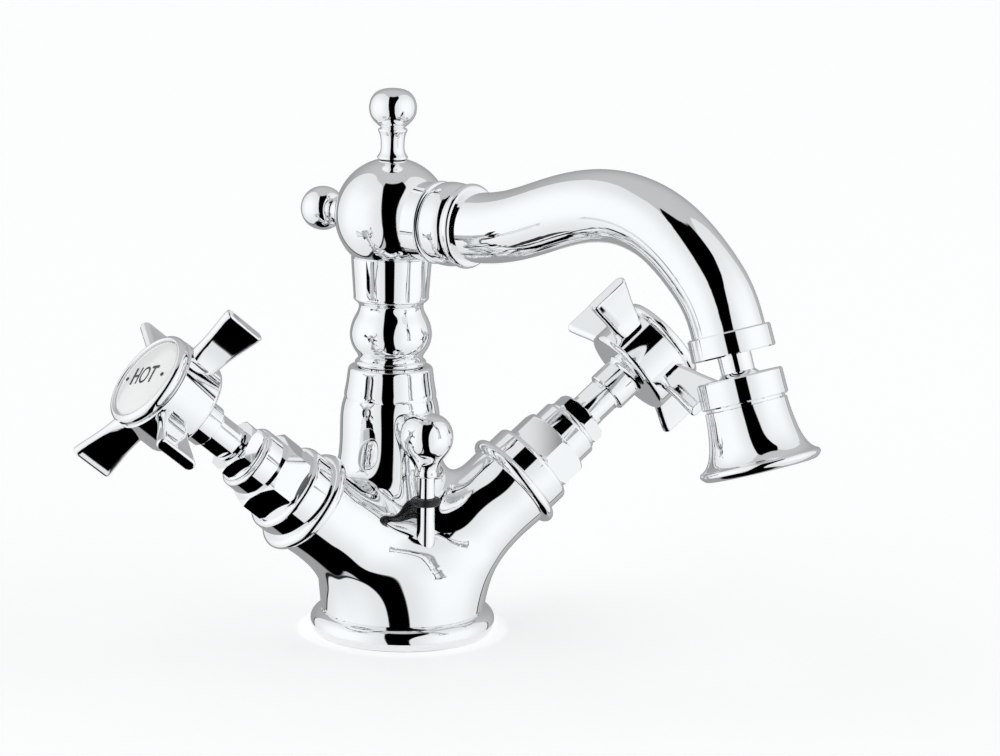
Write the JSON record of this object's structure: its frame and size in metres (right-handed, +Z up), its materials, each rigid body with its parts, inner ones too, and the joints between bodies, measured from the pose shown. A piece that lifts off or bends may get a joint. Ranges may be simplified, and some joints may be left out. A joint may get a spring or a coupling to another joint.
{
  "type": "bathroom mixer faucet",
  "caption": "Deck-mounted chrome mixer with a swivelling curved spout, a tilting bell-shaped nozzle, cross handles on slanted valves and a lift rod.",
  "frame": {"origin": "centre of the base flange's underside, on the deck", "axes": "+Z up, -Y to the front, +X to the cold handle, -X to the hot handle"},
  "size_m": [0.1972, 0.1618, 0.2174],
  "materials": {
    "chrome": "polished chrome plate on brass",
    "brass": "machined",
    "steel": "zinc plated",
    "rubber": "matt",
    "enamel": "glossy white, slightly domed",
    "ceramic": "lapped ceramic",
    "plastic": "moulded, low friction"
  },
  "bodies": {
    "base": {"mixer_body": "chrome", "base_flange": "chrome", "base_gasket": "rubber", "column_ring": "chrome", "slip_washer": "plastic", "lift_bush": "plastic", "fixing_stud": "steel", "rubber_horseshoe": "rubber", "steel_horseshoe": "steel", "fixing_nut": "brass", "hot_bead_ring": "chrome", "hot_bonnet": "chrome", "hot_seat_washer": "rubber", "hot_fixed_disc": "ceramic", "hot_gland_nut": "chrome", "cold_bead_ring": "chrome", "cold_bonnet": "chrome", "cold_seat_washer": "rubber", "cold_fixed_disc": "ceramic", "cold_gland_nut": "chrome"},
    "spout": {"pillar": "chrome", "lower_oring": "rubber", "upper_oring": "rubber", "head": "chrome", "finial": "chrome", "rear_knob": "chrome", "ferrule": "chrome", "spout_tube": "chrome", "outlet_collar": "chrome", "ball_stem": "chrome"},
    "ball_link": {"ball_seat": "plastic"},
    "nozzle": {"nozzle_housing": "chrome", "bell": "chrome", "aerator_washer": "rubber", "aerator": "plastic"},
    "hot_handle": {"hot_moving_disc": "ceramic", "hot_spindle": "chrome", "hot_stem_oring": "rubber", "hot_handle": "chrome", "hot_handle_screw": "steel", "hot_bezel": "chrome", "hot_index_disc": "enamel"},
    "cold_handle": {"cold_moving_disc": "ceramic", "cold_spindle": "chrome", "cold_stem_oring": "rubber", "cold_handle": "chrome", "cold_handle_screw": "steel", "cold_bezel": "chrome", "cold_index_disc": "enamel"},
    "lift": {"lift_rod": "chrome", "lift_oring": "rubber", "lift_knob": "chrome"}
  },
  "joints": [
    {"name": "spout_swivel", "type": "hinge", "parent": "base", "child": "spout", "pos_m": [0, 0.00995, 0.07], "axis": [0, 0, 1], "range_deg": [-135.4, 84.6]},
    {"name": "nozzle_tilt", "type": "hinge", "parent": "spout", "child": "ball_link", "pos_m": [0.05222, -0.10003, 0.08533], "axis": [0.9033, 0.4289, 0], "range_deg": [-10, 10]},
    {"name": "nozzle_sway", "type": "hinge", "parent": "ball_link", "child": "nozzle", "pos_m": [0.05222, -0.10003, 0.08533], "axis": [0.407, -0.8572, 0.3156], "range_deg": [-10, 10]},
    {"name": "hot_turn", "type": "hinge", "parent": "base", "child": "hot_handle", "pos_m": [-0.04617, -0.00542, 0.05255], "axis": [-0.7695, -0.0403, 0.6374], "range_deg": [0, 90]},
    {"name": "cold_turn", "type": "hinge", "parent": "base", "child": "cold_handle", "pos_m": [0.04617, -0.00542, 0.05255], "axis": [0.7695, -0.0403, 0.6374], "range_deg": [0, 90]},
    {"name": "popup_lift", "type": "slide", "parent": "base", "child": "lift", "axis": [0, 0, 1], "range_m": [-0.004, 0.014]}
  ]
}
